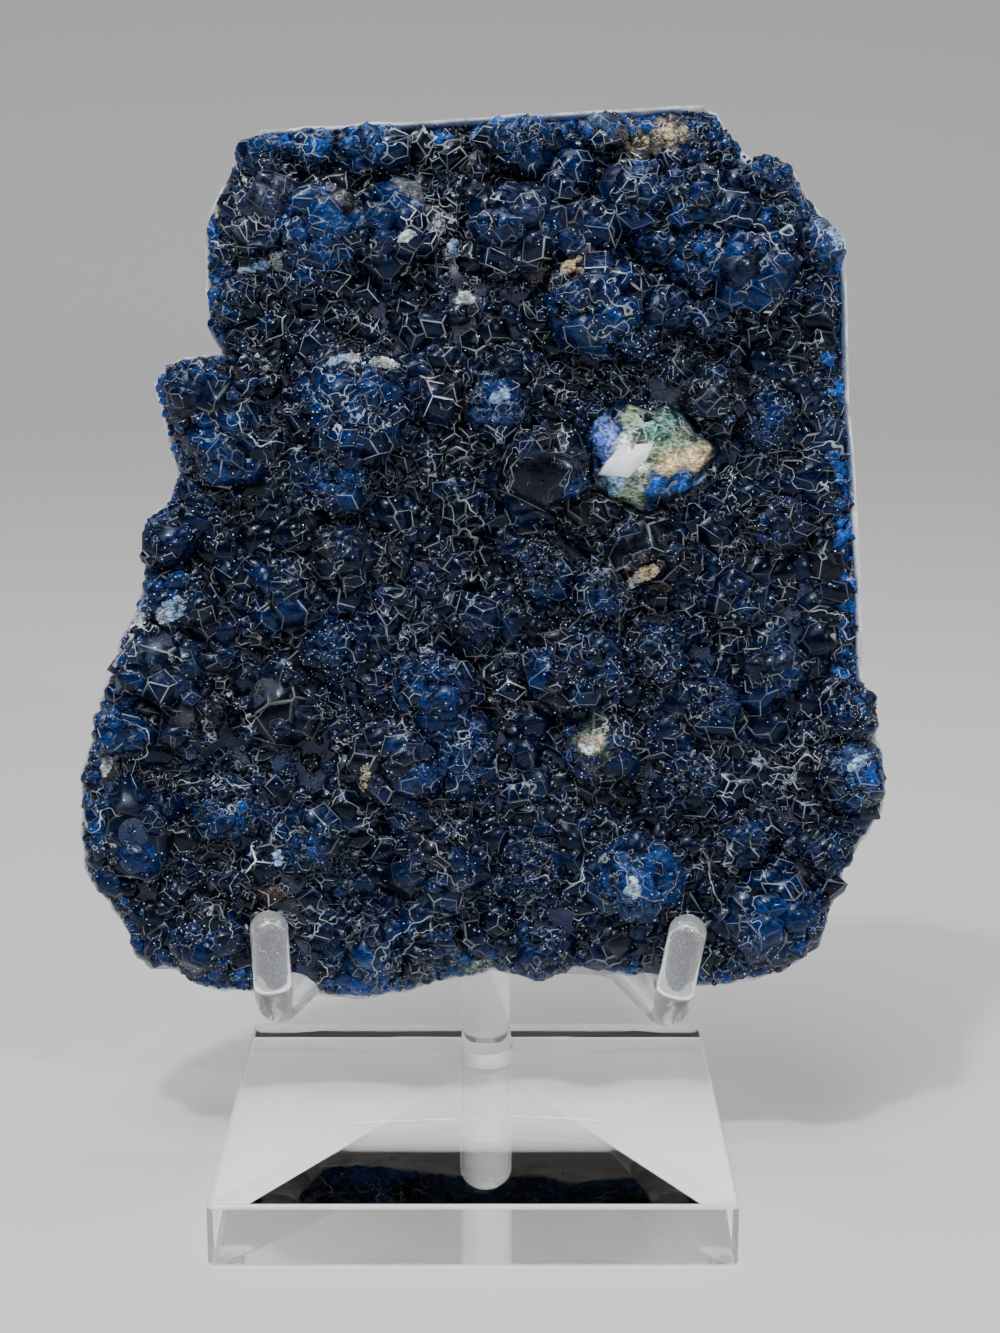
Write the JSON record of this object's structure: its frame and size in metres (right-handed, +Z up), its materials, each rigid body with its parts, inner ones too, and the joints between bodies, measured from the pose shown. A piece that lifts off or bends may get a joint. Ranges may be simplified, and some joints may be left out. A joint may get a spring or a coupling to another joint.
{
  "type": "fluorite specimen",
  "caption": "Flat plate of intergrown dark blue fluorite crystals with a sawn top and side, leaning on a clear acrylic stand with a square base, a round post and bent rod arms.",
  "frame": {"origin": "middle of the stand's underside, on the surface that it stands on", "axes": "+Z up, -Y out of the specimen's front, +X to the right as it is looked at"},
  "size_m": [0.1704, 0.1016, 0.2174],
  "materials": {
    "acrylic_base": "polished",
    "acrylic_rod": "polished",
    "fluorite": "gloss"
  },
  "bodies": {
    "root": {"base": "acrylic_base", "post": "acrylic_rod", "left_arm": "acrylic_rod", "right_arm": "acrylic_rod", "fluorite_plate": "fluorite"}
  },
  "joints": []
}
